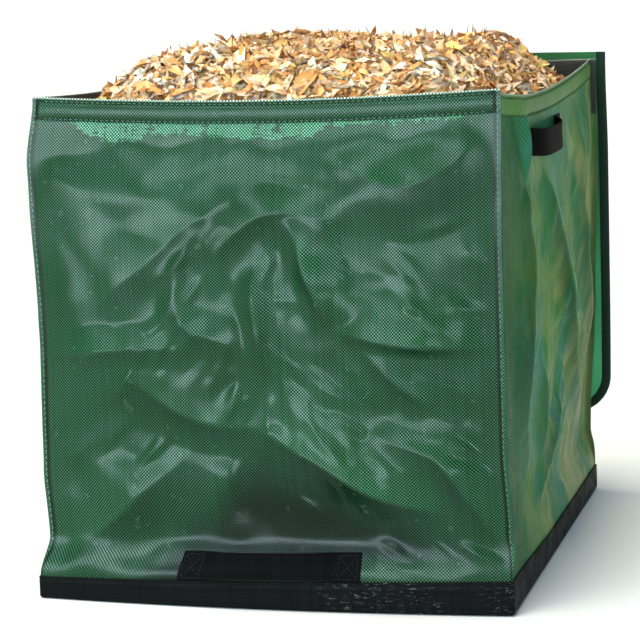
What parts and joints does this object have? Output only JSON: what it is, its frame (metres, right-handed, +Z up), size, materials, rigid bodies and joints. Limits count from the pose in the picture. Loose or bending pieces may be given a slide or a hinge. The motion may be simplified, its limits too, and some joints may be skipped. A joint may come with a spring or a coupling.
{
  "type": "garden waste bag",
  "caption": "Square open-topped garden waste bag of woven cloth with a black base, webbing handles and a lid flap hung behind, standing full of dry leaves.",
  "frame": {"origin": "on the ground under the middle of the base, at its flat underside", "axes": "+Z up, front face with the low tipping strap towards -Y, +X to the right seen from the front"},
  "size_m": [0.6644, 0.7181, 0.7122],
  "materials": {
    "woven_cloth": "green woven plastic tape, satin",
    "base_cloth": "black coated cloth, satin",
    "webbing": "black woven webbing, matte",
    "edge_tape": "dark folded tape, matte",
    "dry_leaves": "dry leaves, matte"
  },
  "bodies": {
    "root": {"front_panel": "woven_cloth", "right_side_panel": "woven_cloth", "back_panel": "woven_cloth", "left_side_panel": "woven_cloth", "lid_panel": "woven_cloth", "base_tray": "base_cloth", "front_handle": "webbing", "right_handle": "webbing", "left_handle": "webbing", "lid_binding": "edge_tape", "leaf_fill": "dry_leaves"}
  },
  "joints": []
}
